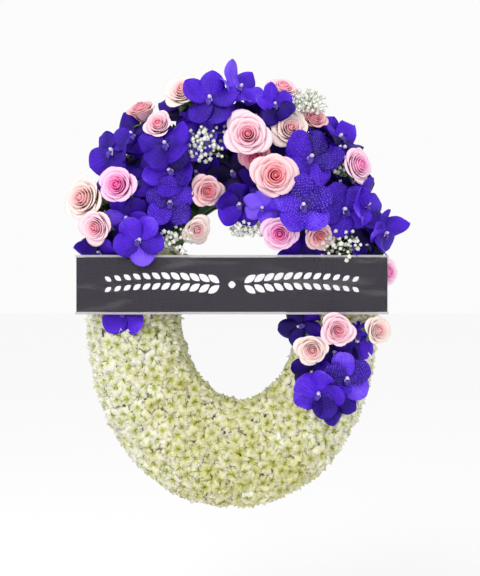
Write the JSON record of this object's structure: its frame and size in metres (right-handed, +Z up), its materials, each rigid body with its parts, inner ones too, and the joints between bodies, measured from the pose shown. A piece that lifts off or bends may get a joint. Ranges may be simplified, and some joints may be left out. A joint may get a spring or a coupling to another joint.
{
  "type": "funeral wreath",
  "caption": "Upright oval flower wreath on a foam ring in a tray, with roses, orchids and baby's breath over its top, chrysanthemums round its base and a plain name card across it.",
  "frame": {"origin": "centre of the hole in the hanging strap, on the back plane of the tray", "axes": "+Z up, +Y out of the back, so the flowers face -Y, and +X to the right seen from the front"},
  "size_m": [0.5649, 0.1654, 0.733],
  "materials": {
    "tray": "satin moulded plastic",
    "foam": "matt porous foam",
    "chrysanthemum": "matt petals",
    "rose": "soft petals",
    "orchid": "satin petals",
    "spray": "tiny matt florets",
    "card": "smooth printed card, plain",
    "sleeve": "clear film",
    "pick": "bare split wood",
    "steel": "plain strip"
  },
  "bodies": {
    "root": {"backing_tray": "tray", "foam_ring": "foam", "hanger_strap": "steel", "banner_card": "card", "banner_sleeve": "sleeve", "banner_pick_left": "pick", "banner_pick_right": "pick", "chrysanthemums_left": "chrysanthemum", "chrysanthemums_lower_left": "chrysanthemum", "chrysanthemums_bottom": "chrysanthemum", "chrysanthemums_right": "chrysanthemum", "rose_01": "rose", "rose_02": "rose", "rose_03": "rose", "rose_04": "rose", "rose_05": "rose", "rose_06": "rose", "rose_08": "rose", "rose_09": "rose", "rose_10": "rose", "rose_11": "rose", "rose_12": "rose", "rose_13": "rose", "rose_14": "rose", "rose_15": "rose", "rose_16": "rose", "rose_17": "rose", "rose_18": "rose", "rose_20": "rose", "rose_21": "rose", "orchid_01": "orchid", "orchid_02": "orchid", "orchid_03": "orchid", "orchid_05": "orchid", "orchid_07": "orchid", "orchid_08": "orchid", "orchid_10": "orchid", "orchid_11": "orchid", "orchid_13": "orchid", "orchid_14": "orchid", "orchid_16": "orchid", "orchid_18": "orchid", "orchid_19": "orchid", "orchid_21": "orchid", "orchid_22": "orchid", "orchid_24": "orchid", "orchid_26": "orchid", "orchid_27": "orchid", "orchid_28": "orchid", "orchid_30": "orchid", "orchid_31": "orchid", "orchid_33": "orchid", "orchid_34": "orchid", "orchid_35": "orchid", "babys_breath_01": "spray", "babys_breath_02": "spray", "babys_breath_03": "spray", "babys_breath_04": "spray", "babys_breath_05": "spray", "babys_breath_06": "spray"}
  },
  "joints": []
}
